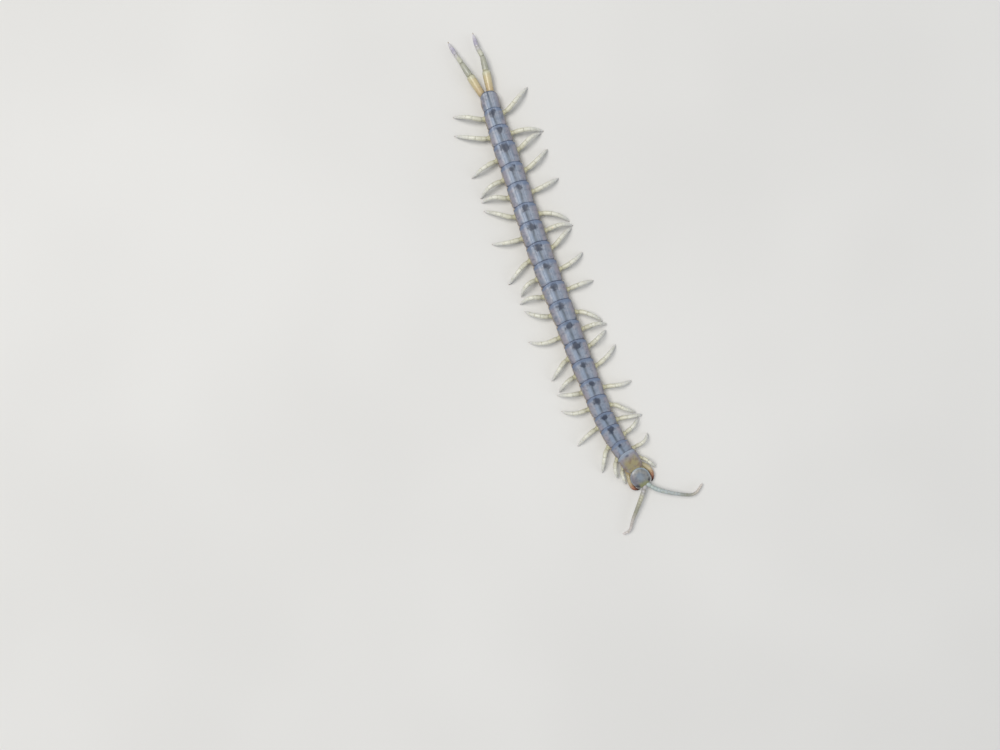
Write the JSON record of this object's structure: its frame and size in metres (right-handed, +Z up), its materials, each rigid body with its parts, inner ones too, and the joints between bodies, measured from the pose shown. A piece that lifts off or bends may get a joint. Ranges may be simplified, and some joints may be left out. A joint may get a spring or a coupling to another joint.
{
  "type": "small giant centipede",
  "caption": "Slim giant centipede standing flat, body gently curved, with plated back, jointed legs along both sides, curling beaded antennae, poison claws and trailing hind legs.",
  "frame": {"origin": "on the floor under the middle of the bounding box", "axes": "-Y towards the head, +Y towards the tail, +X to the animal's left, +Z up from the floor"},
  "size_m": [0.016, 0.0754, 0.0024],
  "materials": {
    "back_plate": "smooth chitin with a soft sheen, bluish grey",
    "head_plate": "smooth polished chitin, grey-blue",
    "leg": "smooth pale cream-yellow chitin",
    "hind_leg": "smooth chitin, yellow-orange to greyish",
    "poison_claw": "polished chitin, cream to dark red-brown at the tip",
    "antenna": "finely haired chitin, pale blue-grey"
  },
  "bodies": {
    "root": {"head": "head_plate", "forcipular_segment": "back_plate", "trunk_1": "back_plate", "trunk_2": "back_plate", "trunk_3": "back_plate", "trunk_4": "back_plate", "trunk_5": "back_plate", "trunk_6": "back_plate", "trunk_7": "back_plate", "antenna_left": "antenna", "forcipule_left": "poison_claw", "ultimate_leg_left": "hind_leg", "antenna_right": "antenna", "forcipule_right": "poison_claw", "ultimate_leg_right": "hind_leg", "leg_left_01": "leg", "leg_left_02": "leg", "leg_left_03": "leg", "leg_left_04": "leg", "leg_left_05": "leg", "leg_left_06": "leg", "leg_left_07": "leg", "leg_left_08": "leg", "leg_left_09": "leg", "leg_left_10": "leg", "leg_left_11": "leg", "leg_left_12": "leg", "leg_left_13": "leg", "leg_left_14": "leg", "leg_left_15": "leg", "leg_left_16": "leg", "leg_left_17": "leg", "leg_left_18": "leg", "leg_left_19": "leg", "leg_left_20": "leg", "leg_right_01": "leg", "leg_right_02": "leg", "leg_right_03": "leg", "leg_right_04": "leg", "leg_right_05": "leg", "leg_right_06": "leg", "leg_right_07": "leg", "leg_right_08": "leg", "leg_right_09": "leg", "leg_right_10": "leg", "leg_right_11": "leg", "leg_right_12": "leg", "leg_right_13": "leg", "leg_right_14": "leg", "leg_right_15": "leg", "leg_right_16": "leg", "leg_right_17": "leg", "leg_right_18": "leg", "leg_right_19": "leg", "leg_right_20": "leg"}
  },
  "joints": []
}
